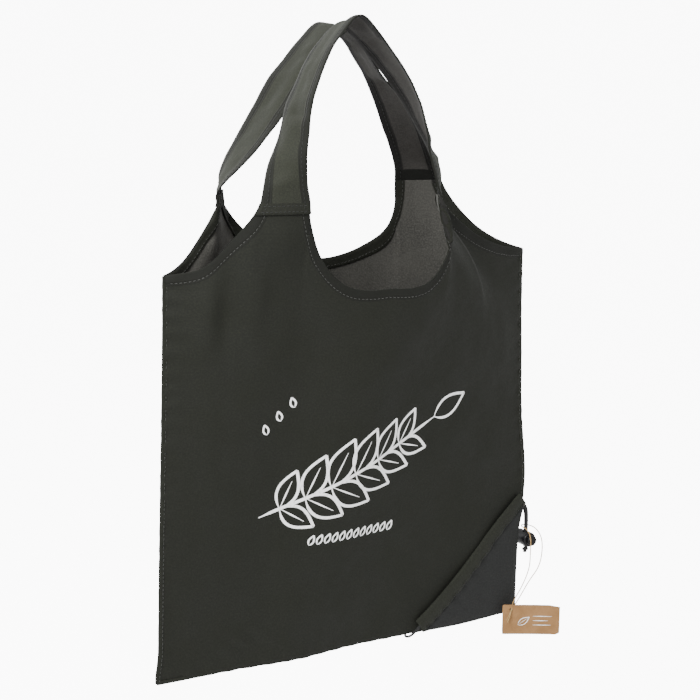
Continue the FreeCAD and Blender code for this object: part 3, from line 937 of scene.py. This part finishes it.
def make_hems(side):
    """Hem bands inside each edge, and the rows of stitches that hold them, seen on both faces."""
    bands = []
    points, faces = [], []
    for edge in HEM_EDGES:
        bands.append(edge_band(f"{WORD[side]}_{edge[0]}_hem", side, edge, HEM_BAND_LIFT))
        stitch_row(points, faces, hem_line(side, edge, HEM_STITCH, STITCH_LIFT))
        inner = hem_line(side, edge, HEM_STITCH, -INNER_STITCH_LIFT)
        stitch_row(points, faces, [(place, -normal) for place, normal in inner])
    stitches = closed_object(f"{WORD[side]}_hem_stitches", points, faces, [MATERIALS["thread"]])
    belongs("bag", "cloth", *bands)
    belongs("bag", "thread", stitches)
    return bands + [stitches]


def swept_band(name, line, width, thickness, pitch, turn, seed):
    """A closed soft band swept along a seam, its thickness from front to back; the rest sets its ripple."""
    sides = 16
    power = 2.6
    points, uv = [], []
    for index, place in enumerate(line):
        along = span_at(line, index).normalized()
        beside = along.cross(Vector((0, -1, 0))).normalized()
        normal = beside.cross(along).normalized()
        for corner in range(sides):
            angle = 2 * math.pi * corner / sides
            c, s = math.cos(angle), math.sin(angle)
            across = math.copysign(abs(c) ** (2 / power), c) * width / 2
            up = math.copysign(abs(s) ** (2 / power), s) * thickness / 2
            ripple = 0.0005 * wobble(index * pitch, c * turn, seed)
            points.append(place + beside * across + normal * (up + ripple))
            uv.append((across + 0.001 * corner, index * 0.003))
    faces = grid_faces(len(line), sides, closed=True)
    faces.append(tuple(range(sides)))
    faces.append(tuple(reversed(range((len(line) - 1) * sides, len(line) * sides))))
    return closed_object(name, points, faces, [MATERIALS["hem"]], uv)


SIDE_SEAM_SIZE = (0.0050, 0.0022)
BOTTOM_SEAM_SIZE = (0.0040, 0.0036)


def side_seam_line(leg):
    """Middle of a side seam, down from the armhole."""
    line = []
    steps = 149
    for step in range(steps + 1):
        z = mix(RIM[0][1] - 0.001, BOTTOM + 0.001, step / steps)
        place = place_cloth(FRONT, leg * (HALF_WIDTH - 0.0012), z)
        line.append(Vector((place.x + leg * 0.0004 * wobble(z * 120, 1, 3), 0.0, place.z)))
    return line


def bottom_seam_line():
    """Middle of the bottom seam, from the left corner to the right."""
    line = []
    steps = 139
    for step in range(steps + 1):
        x = mix(-HALF_WIDTH + 0.0008, HALF_WIDTH - 0.0008, step / steps)
        place = place_cloth(FRONT, x, BOTTOM)
        line.append(Vector((place.x, 0.0, place.z + 0.0012)))
    return line


def make_seams():
    """The side seams and the bottom seam: narrow bound edges, puckered by their stitching."""
    bands = []
    points, faces = [], []
    for leg, name in ((-1, "left"), (1, "right")):
        line = side_seam_line(leg)
        bands.append(swept_band(f"{name}_side_seam", line, *SIDE_SEAM_SIZE, 0.45, leg, 6))
        for side in (FRONT, BACK):
            inset = Vector((-leg * 0.0014, side * 0.00135, 0))
            stitch_row(points, faces, [(place + inset, Vector((0, side, 0))) for place in line])
    bands.append(swept_band("bottom_seam", bottom_seam_line(), *BOTTOM_SEAM_SIZE, 0.4, 1, 7))
    stitches = closed_object("seam_stitches", points, faces, [MATERIALS["thread"]])
    belongs("bag", "cloth", *bands)
    belongs("bag", "thread", stitches)
    return bands + [stitches]


# ---------------------------------------------------------------- handles
STRAP_COLUMNS = 17
STRAP_STEP = 0.0022
SEAT_ROWS = 5
STITCH_INSET = round(0.0075 / STRAP_WIDTH * (STRAP_COLUMNS - 1))
STITCH_OUT = STRAP_THICK / 2 + STITCH_LIFT
SEAT_INSET = 0.0004
SEAT_LIFT = 0.0004


def seat_rows(side, leg):
    """Rows of the strap's end sewn onto its panel, from its lower edge up to the seam, armhole edge first."""
    rows = []
    for number in range(SEAT_ROWS):
        z = SEAM - OVERLAP * (1 - number / (SEAT_ROWS - 1)) - 0.0002
        arm = ARM_REACH - math.sqrt(ARM_RADIUS**2 - (z - ARM_HEIGHT) ** 2) - SEAT_INSET
        neck = math.sqrt(NECK_RADIUS**2 - (z - NECK_HEIGHT) ** 2) + SEAT_INSET
        row = []
        for column in range(STRAP_COLUMNS):
            x = leg * mix(arm, neck, column / (STRAP_COLUMNS - 1))
            place, normal = cloth_frame(side, x, z)
            row.append(place + normal * (STRAP_THICK / 2 + SEAT_LIFT))
        rows.append(row)
    return rows


def free_rows(side, left, right):
    """Rows of the strap between its seams: edges along the loop, bowed and crumpled in between."""
    middle = [(Vector(arm) / 1000, Vector(neck) / 1000) for arm, neck in HANDLES[side]]
    seats = [(row[0], row[-1]) for row in (left[-3], left[-1])]
    seats_right = [(row[0], row[-1]) for row in (right[-1], right[-3])]
    pairs = seats + middle + seats_right
    arm = [a for a, _ in pairs]
    neck = [n for _, n in pairs]
    last = len(pairs) - 1
    length = sum((b - a).length for a, b in zip(neck, neck[1:]))
    count = int(length / STRAP_STEP)
    lines = []
    for index in range(count + 1):
        share = mix(1, last - 1, index / count) / last
        lines.append((spline(arm, share), spline(neck, share)))
    rows = []
    for index, (a, n) in enumerate(lines[1:-1], 1):
        before, after = lines[index - 1], lines[index + 1]
        along = ((after[0] + after[1]) - (before[0] + before[1])).normalized()
        across = n - a
        outer = along.cross(across).normalized() * side
        spare = max(STRAP_WIDTH**2 - across.length_squared, 0)
        near = min(index, count - index)
        ends = smooth(near / 14)
        bow = min(math.sqrt(spare * 3 / 16), 0.0045) * ends + 0.0008 * ends
        seat, top = (left[-1], lines[0]) if index * 2 < count else (right[-1], lines[-1])
        length = index * STRAP_STEP
        row = []
        for column in range(STRAP_COLUMNS):
            share = column / (STRAP_COLUMNS - 1)
            crease = wobble(length * 34, share * 2.2, side + 11) * 0.0021
            crease += wobble(length * 80, share * 4, side + 12) * 0.0008
            if side == FRONT:
                crease -= 0.0035 * bump(length, 0.036, 0.011) * bump(share, 0.28, 0.15)
                crease -= 0.0020 * bump(length, 0.070, 0.014) * bump(share, 0.75, 0.2)
            ripple = crease * ends * (0.4 + 0.6 * math.sin(math.pi * share))
            held = (seat[column] - top[0].lerp(top[1], share)) * (1 - smooth(near / 9))
            row.append(a + across * share + outer * (bow * 4 * share * (1 - share) + ripple) + held)
        rows.append(row)
    return rows


def strap_stitches(side, rows, points, faces):
    """Stitches along both long edges of a strap, on both faces, and two rows across each sewn end."""
    surface = BVHTree.FromPolygons(points, faces)
    stitch_points, stitch_faces = [], []
    for column in (STITCH_INSET, STRAP_COLUMNS - 1 - STITCH_INSET):
        line = [points[row * STRAP_COLUMNS + column] for row in range(rows)]
        for face in (1, -1):
            normals = [normal_at(surface, place) * face for place in line]
            faced = [(place + normal * STITCH_OUT, normal) for place, normal in zip(line, normals)]
            stitch_row(stitch_points, stitch_faces, faced)
    for row in (1, 3, rows - 4, rows - 2):
        line = []
        for column in range(1, STRAP_COLUMNS - 1):
            place = points[row * STRAP_COLUMNS + column]
            normal = normal_at(surface, place)
            if normal.y * side < 0:
                normal = -normal
            line.append((place + normal * STITCH_OUT, normal))
        stitch_row(stitch_points, stitch_faces, line)
    name = f"{WORD[side]}_strap_stitches"
    return closed_object(name, stitch_points, stitch_faces, [MATERIALS["dark_thread"]])


def make_handle(side):
    """A loop strap with both ends sewn onto its panel, and its stitches."""
    left = seat_rows(side, -1)
    right = seat_rows(side, 1)
    lines = left + free_rows(side, left, right) + right[::-1]
    points = [place for row in lines for place in row]
    uv = []
    for row in range(len(lines)):
        for column in range(STRAP_COLUMNS):
            uv.append((column / (STRAP_COLUMNS - 1) * STRAP_WIDTH, row * STRAP_STEP))
    faces = grid_faces(len(lines), STRAP_COLUMNS, flip=side == BACK)
    outside = [MATERIALS["strap"], MATERIALS["hem"], MATERIALS["strap"]]
    inside = [MATERIALS["strap_inside"], MATERIALS["seam"], MATERIALS["seam"]]
    strap = mesh_object(f"{WORD[side]}_strap", points, faces, outside + inside, uv)
    # the sewn ends and the rows just above them have their own materials; on the inner face that is the seam
    # material, a painted shade
    for polygon in strap.data.polygons:
        row = min(polygon.index, len(faces) - 1 - polygon.index) // (STRAP_COLUMNS - 1)
        if row < SEAT_ROWS - 1:
            polygon.material_index = 1
        elif row < 2 * SEAT_ROWS + 2:
            polygon.material_index = 2
    thicken(strap, STRAP_THICK, offset=0.0, inside=len(outside))
    stitches = strap_stitches(side, len(lines), points, faces)
    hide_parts(f"{WORD[side]}_handle")
    for piece, slot in ((strap, "cloth"), (stitches, "thread")):
        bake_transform(piece)
    return strap, stitches


# ---------------------------------------------------------------- corner pouch
CASING_ROWS = 110
GATHER_TURN = 0.62


def casing_line():
    """Middle of the casing on the flat cut, from the side seam down to the bottom seam."""
    route = [(x, 0.0, z) for x, z in CASING]
    return [spline(route, index / (CASING_ROWS - 1)) for index in range(CASING_ROWS)]


def casing_side(index, line):
    """Direction across the casing, towards the bag's corner."""
    along = span_at(line, index).normalized()
    return Vector((-along.z, 0, along.x))


def pouch_place(side, x, z, out):
    """Point of the pouch's layer, on top of its panel."""
    place = place_cloth(side, x, z)
    place.y = side * (belly_out(x, z) + POUCH_LIFT + out)
    return place


def make_casing(side):
    """The tunnel along the pouch's open edge: full round its cord, pinched and puckered at its stitching."""
    line = casing_line()
    profile = []
    steps = 22
    for step in range(steps):
        angle = 2 * math.pi * step / steps
        share = 0.5 - 0.5 * math.cos(angle)
        full = (math.sin(math.pi * share**0.72)) ** 0.75 if 0 < share < 1 else 0.0
        profile.append((share, full * (1 if angle < math.pi else -1)))
    points, uv = [], []
    for index, place in enumerate(line):
        towards = casing_side(index, line)
        reach = index / (len(line) - 1)
        pinch = 0.55 + 0.45 * smooth(min(reach, 1 - reach) / 0.05)
        gather = math.sin(index * GATHER_TURN + 1.5 * wobble(index * 0.11, 0, 21))
        for share, full in profile:
            across = (share - 0.5) * CASING_WIDTH
            shift = 0.0006 * gather * share
            flat = place + towards * (across + shift)
            swell = full * CASING_THICK / 2 * pinch * (1 + 0.22 * gather * share)
            crumple = 0.0003 * wobble(index * 0.3, share * 3, side + 22)
            out = max(CASING_THICK / 2 + swell + crumple, 0.0001)
            points.append(pouch_place(side, flat.x, flat.z, out))
            uv.append((across, index * 0.0016))
    faces = grid_faces(len(line), steps, flip=side == BACK, closed=True)
    casing = closed_object(f"{WORD[side]}_casing", points, faces, [MATERIALS["casing"]], uv)
    return casing, line


def pouch_edge(stitched):
    """Points down the side seam to the bag's corner and back along the bottom seam, one for each stitch."""
    corner_x = HALF_WIDTH - 0.0006
    foot = BOTTOM + 0.0006
    side_length = stitched[0].z - foot
    total = side_length + corner_x - stitched[-1].x
    edge = []
    for index in range(len(stitched)):
        reach = total * index / (len(stitched) - 1)
        if reach < side_length:
            edge.append(Vector((corner_x, 0, stitched[0].z - reach)))
        else:
            edge.append(Vector((corner_x - (reach - side_length), 0, foot)))
    return edge


def pouch_sheet(side, line):
    """Cloth from the casing's stitching to the bag's two seams: points, places on the cloth and faces."""
    stitched = [place + casing_side(index, line) * CASING_WIDTH * 0.42 for index, place in enumerate(line)]
    edge = pouch_edge(stitched)
    rows = 34
    points, uv = [], []
    for row in range(rows):
        share = row / (rows - 1)
        for index, start in enumerate(stitched):
            flat = start.lerp(edge[index], share)
            gather = 0.0006 * math.sin(index * GATHER_TURN) * (1 - share) ** 2
            edge_fade = smooth(share / 0.08) * smooth((1 - share) / 0.12)
            facets = wobble(flat.x * 55, flat.z * 9, side + 31) * 0.0022
            facets += wobble(flat.x * 120, flat.z * 40, side + 33) * 0.0003
            puff = 0.0016 * math.sin(math.pi * share) + facets * edge_fade
            points.append(pouch_place(side, flat.x, flat.z, max(0.0013 + puff + gather, 0.0004)))
            uv.append((flat.x, flat.z))
    return points, uv, grid_faces(rows, len(line), flip=side == BACK)


def casing_stitches(side, line):
    """Stitches along the casing, a little in from its two ends."""
    row = []
    for index in range(2, len(line) - 2):
        flat = line[index] + casing_side(index, line) * CASING_WIDTH * 0.36
        place = pouch_place(side, flat.x, flat.z, CASING_THICK / 2 + 0.0014)
        row.append((place, Vector((0, side, 0))))
    points, faces = [], []
    stitch_row(points, faces, row)
    return closed_object(f"{WORD[side]}_casing_stitches", points, faces, [MATERIALS["dark_thread"]])


def make_pouch(side):
    """The corner pouch's cloth, its casing and its stitches."""
    casing, line = make_casing(side)
    points, uv, faces = pouch_sheet(side, line)
    materials = [MATERIALS["pouch"], MATERIALS["inside"]]
    cloth = mesh_object(f"{WORD[side]}_pouch_cloth", points, faces, materials, uv)
    thicken(cloth, POUCH_CLOTH, inside=1)
    stitches = casing_stitches(side, line)
    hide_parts(f"{WORD[side]}_pouch")
    belongs("bag", "pouch_cloth", cloth, casing)
    belongs("bag", "thread", stitches)
    return cloth, casing, stitches


# ---------------------------------------------------------------- knot, lock and tag
def make_knot():
    """Overhand knot of the two cord ends: a trefoil of cord with two short tails."""
    low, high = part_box("drawcord_knot")
    centre = (Vector(low) + Vector(high)) / 2
    curve = cord_curve("drawcord_knot_cord", CORD_WIDTH, MATERIALS["cord"], 8, 4)
    loop = []
    count = 18
    for index in range(count):
        t = 2 * math.pi * index / count
        x = (math.sin(t) + 2 * math.sin(2 * t)) * 0.00075
        y = (math.cos(t) - 2 * math.cos(2 * t)) * 0.00075
        z = -math.sin(3 * t) * 0.0011
        loop.append((centre.x + x, centre.y + z, centre.z + y))
    add_run(curve, loop, order=4, closed=True)
    for leg in (-1, 1):
        tail = [(0.0002, 0, 0), (leg * 0.0006, 0.0004, -0.0018), (leg * 0.0012, 0.0006, -0.0032)]
        add_run(curve, [(centre.x + x, centre.y + y, centre.z + z) for x, y, z in tail])
    knot = link_object("drawcord_knot_cord", curve)
    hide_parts("drawcord_knot")
    belongs("bag", "cord", knot)
    return knot


def dress_lock():
    """The cord lock's own parts keep their CAD shapes and get their materials."""
    looks = {"cord_lock_body": "plastic", "cord_lock_button": "plastic", "cord_lock_spring": "steel"}
    for name, material in looks.items():
        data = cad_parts[name].data
        data.materials.clear()
        data.materials.append(MATERIALS[material])
    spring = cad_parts["cord_lock_spring"]
    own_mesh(spring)


def tag_place(across, down, out):
    """Point of the card, bent a little along its length."""
    share = across / TAG_SIZE[0]
    bend = 0.0009 * math.sin(math.pi * share) + 0.0004 * math.sin(2 * math.pi * down / TAG_SIZE[1])
    return TAG_CORNER + TAG_ACROSS * across - Vector((0, 0, down)) + TAG_OUT * (out - bend)


def make_tag():
    """Kraft card with rounded corners and a punched hole, built as rings from the hole out to the outline."""
    sides = 96
    rings = 16
    width, height = TAG_SIZE
    corner = 0.0012
    points, uv = [], []
    for face in (1, -1):
        for ring in range(rings):
            share = ring / (rings - 1)
            for step in range(sides):
                angle = 2 * math.pi * step / sides
                c, s = math.cos(angle), math.sin(angle)
                hx = TAG_HOLE[0] + TAG_HOLE_RADIUS * c
                hy = TAG_HOLE[1] + TAG_HOLE_RADIUS * s
                # where a ray from the hole's middle meets the card's outline
                to_x = (width - TAG_HOLE[0]) if c > 0 else TAG_HOLE[0]
                to_y = (height - TAG_HOLE[1]) if s > 0 else TAG_HOLE[1]
                reach = min(to_x / max(abs(c), 1e-6), to_y / max(abs(s), 1e-6))
                ex = TAG_HOLE[0] + reach * c
                ey = TAG_HOLE[1] + reach * s
                near = math.hypot(min(ex, width - ex), min(ey, height - ey))
                ease = corner * bump(near, 0.0, corner)
                ex = clamp(ex, ease * 0.3, width - ease * 0.3)
                ey = clamp(ey, ease * 0.3, height - ease * 0.3)
                across, down = mix(hx, ex, share), mix(hy, ey, share)
                points.append(tag_place(across, down, face * CARD_THICK / 2))
                uv.append((across, down))
    layer = rings * sides
    outer = (rings - 1) * sides
    faces = grid_faces(rings, sides, closed=True)
    faces += [tuple(layer + index for index in reversed(quad)) for quad in faces]
    for step in range(sides):
        after = (step + 1) % sides
        faces.append((step, step + layer, after + layer, after))
        faces.append((outer + after, outer + after + layer, outer + step + layer, outer + step))
    tag = closed_object("tag_card", points, faces, [MATERIALS["kraft"]], uv, flat=True)
    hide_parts("swing_tag")
    belongs("tag", "kraft_card", tag)
    return tag, tag_marks()


# ---------------------------------------------------------------- print
STEM_STROKE = 0.0032
LEAF_STROKE = 0.0028
VEIN_STROKE = 0.0016
SMALL_STROKE = 0.0018
SMALL_LEAF = (0.010, 0.0050)
INK_LIFT = 0.0002


def leaf_outline(base, angle, length, width):
    """Both sides of a leaf as one closed outline in the print's plane."""
    count = 22
    along = Vector((math.cos(angle), math.sin(angle)))
    beside = Vector((-along.y, along.x))
    outline = []
    for half, steps in ((width / 2, range(count + 1)), (-width / 2, range(count, -1, -1))):
        for step in steps:
            t = step / count
            outline.append(base + along * length * t + beside * half * math.sin(math.pi * t**0.85))
    return outline


def ribbon(points, faces, line, width, place_on):
    """A flat stroke of ink along a line in the print's plane, narrower at its ends."""
    first = len(points)
    count = len(line)
    for index, place in enumerate(line):
        along = span_at(line, index)
        if along.length < 1e-9:
            along = Vector((1, 0))
        beside = Vector((-along.y, along.x)).normalized()
        ends = smooth(min(index, count - 1 - index) / 5)
        half = width / 2 * (0.35 + 0.65 * ends)
        points.append(place_on(place + beside * half))
        points.append(place_on(place - beside * half))
    for index in range(count - 1):
        a = first + 2 * index
        faces.append((a, a + 1, a + 3, a + 2))


def ink_object(name, strokes, place_on):
    """One piece of ink from strokes of (line, width)."""
    points, faces = [], []
    for line, width in strokes:
        ribbon(points, faces, line, width, place_on)
    return mesh_object(name, points, faces, [MATERIALS["ink"]])


def straight(start, end, count):
    """Points of a straight line."""
    return [start.lerp(end, step / count) for step in range(count + 1)]


def quadratic(a, b, c, count):
    """Points of a curve from a to c that bends towards b."""
    shares = [step / count for step in range(count + 1)]
    return [a * (1 - t) ** 2 + b * 2 * t * (1 - t) + c * t * t for t in shares]


def sprig(base, bend, tip, leaves, length, width):
    """A stem with leaves in pairs and one at its tip: a list of (line, stroke width)."""
    steps = 60
    stem = quadratic(Vector(base), Vector(bend), Vector(tip), steps)
    strokes = [(stem, STEM_STROKE)]
    for number in range(leaves):
        share = 0.12 + 0.8 * number / leaves
        index = int(share * steps)
        along = stem[min(index + 1, steps)] - stem[index - 1]
        heading = math.atan2(along.y, along.x)
        size = 1 - 0.45 * abs(share - 0.42) / 0.58
        for turn in (1, -1):
            angle = heading + turn * math.radians(52 - 14 * share)
            strokes.append((leaf_outline(stem[index], angle, length * size, width * size), LEAF_STROKE))
            vein_end = stem[index] + Vector((math.cos(angle), math.sin(angle))) * length * size * 0.72
            strokes.append((straight(stem[index], vein_end, 10), VEIN_STROKE))
    last = math.atan2(*(stem[-1] - stem[-3]).yx)
    strokes.append((leaf_outline(stem[-1], last, length * 0.8, width * 0.8), LEAF_STROKE))
    return strokes


def make_print():
    """A white botanical line print across the front."""
    def place_on(flat):
        origin = Vector((BAG_MIDDLE + flat.x, -0.3, flat.y))
        hit, normal, _, _ = SURFACES[FRONT].ray_cast(origin, Vector((0, 1, 0)))
        return hit + (normal if normal.y < 0 else -normal) * INK_LIFT

    strokes = sprig((-0.106, -0.452), (-0.02, -0.425), (0.074, -0.374), 6, 0.050, 0.025)
    for number in range(12):
        x = mix(-0.056, 0.034, number / 11)
        strokes.append((leaf_outline(Vector((x, -0.484)), math.radians(65), *SMALL_LEAF), SMALL_STROKE))
    for number in range(3):
        x = mix(-0.104, -0.080, number / 2)
        z = -0.372 + 0.012 * number
        strokes.append((leaf_outline(Vector((x, z)), math.radians(110), *SMALL_LEAF), SMALL_STROKE))
    art = ink_object("front_print", strokes, place_on)
    belongs("bag", "print_white", art)
    return art


def tag_marks():
    """A small white leaf and rule lines printed on the card."""
    def place_on(flat):
        return tag_place(flat.x, flat.y, TAG_INK_LIFT)

    strokes = [(leaf_outline(Vector((0.016, 0.021)), math.radians(-35), 0.014, 0.006), 0.0006)]
    strokes.append((straight(Vector((0.0165, 0.0205)), Vector((0.0265, 0.0135)), 8), 0.0004))
    for row, (start, end) in enumerate(((0.031, 0.050), (0.031, 0.046), (0.031, 0.049))):
        y = 0.012 + 0.0045 * row
        strokes.append(([Vector((mix(start, end, t / 10), y)) for t in range(11)], 0.0007))
    marks = ink_object("tag_print", strokes, place_on)
    belongs("tag", "print_white", marks)
    return marks


# ---------------------------------------------------------------- stage
FLOOR_SIZE = 300.0
FLOOR_DROP = 0.42
WHITE = (1, 1, 1, 1)
BACKDROP_GLOW = 9.0
STUDIO_GLOW = 1.1
LIGHTS = [
    ("key", (-1.25, -0.85, 0.75), 0.8, 56.0),
    ("fill", (1.2, -2.4, 0.3), 1.8, 1.5),
    ("top", (-0.2, 0.3, 1.9), 1.4, 22.0),
    ("rim", (-1.0, 1.9, 0.5), 1.4, 10.0),
]
LIGHT_AIM = Vector((0.0, 0.0, -0.3))


def camera_glow(tree, low):
    """Light that is as strong as the backdrop's where the camera sees it and low everywhere else."""
    seen = add_node(tree, "ShaderNodeLightPath").outputs["Is Camera Ray"]
    return ramp(tree, seen, 0.0, 1.0, low, BACKDROP_GLOW)


def make_floor():
    """Pale floor well below the hanging bag, plain white to the camera."""
    height = BOTTOM - FLOOR_DROP
    corners = [(x * FLOOR_SIZE, y * FLOOR_SIZE, height) for x, y in ((-1, -1), (1, -1), (1, 1), (-1, 1))]
    material, tree, shader = new_material("floor", 0.9)
    soft = noise_node(tree, object_place(tree), 1.5, 2.0)
    tone = blend_colour(tree, soft, (0.86, 0.86, 0.86, 1), (0.9, 0.9, 0.9, 1))
    set_looks(tree, shader, tone)
    shader.inputs["Emission Color"].default_value = WHITE
    tree.links.new(camera_glow(tree, 0.0), shader.inputs["Emission Strength"])
    mesh_object("floor", corners, [(0, 1, 2, 3)], [material])


def make_stage():
    """White backdrop and floor, and soft studio light."""
    make_floor()
    world = bpy.data.worlds.new("studio")
    world.use_nodes = True
    tree = world.node_tree
    back = tree.nodes["Background"]
    back.inputs["Color"].default_value = WHITE
    tree.links.new(camera_glow(tree, STUDIO_GLOW), back.inputs["Strength"])
    bpy.context.scene.world = world
    for name, place, size, power in LIGHTS:
        data = bpy.data.lights.new(name, "AREA")
        data.size = size
        data.energy = power
        light = link_object(name, data)
        light.location = place
        light.rotation_euler = (LIGHT_AIM - Vector(place)).to_track_quat("-Z", "Y").to_euler()


# ---------------------------------------------------------------- the bag
make_camera()
drawcord, twine = make_cords()
front_panel = make_panel(FRONT)
back_panel = make_panel(BACK)
front_hems = make_hems(FRONT)
back_hems = make_hems(BACK)
seams = make_seams()
front_strap, front_strap_stitches = make_handle(FRONT)
back_strap, back_strap_stitches = make_handle(BACK)
front_pouch, front_casing, front_stitches = make_pouch(FRONT)
back_pouch, back_casing, back_stitches = make_pouch(BACK)
knot = make_knot()
dress_lock()
tag, tag_ink = make_tag()
art = make_print()
make_stage()

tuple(drawcord_route()[0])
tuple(twine_route()[0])
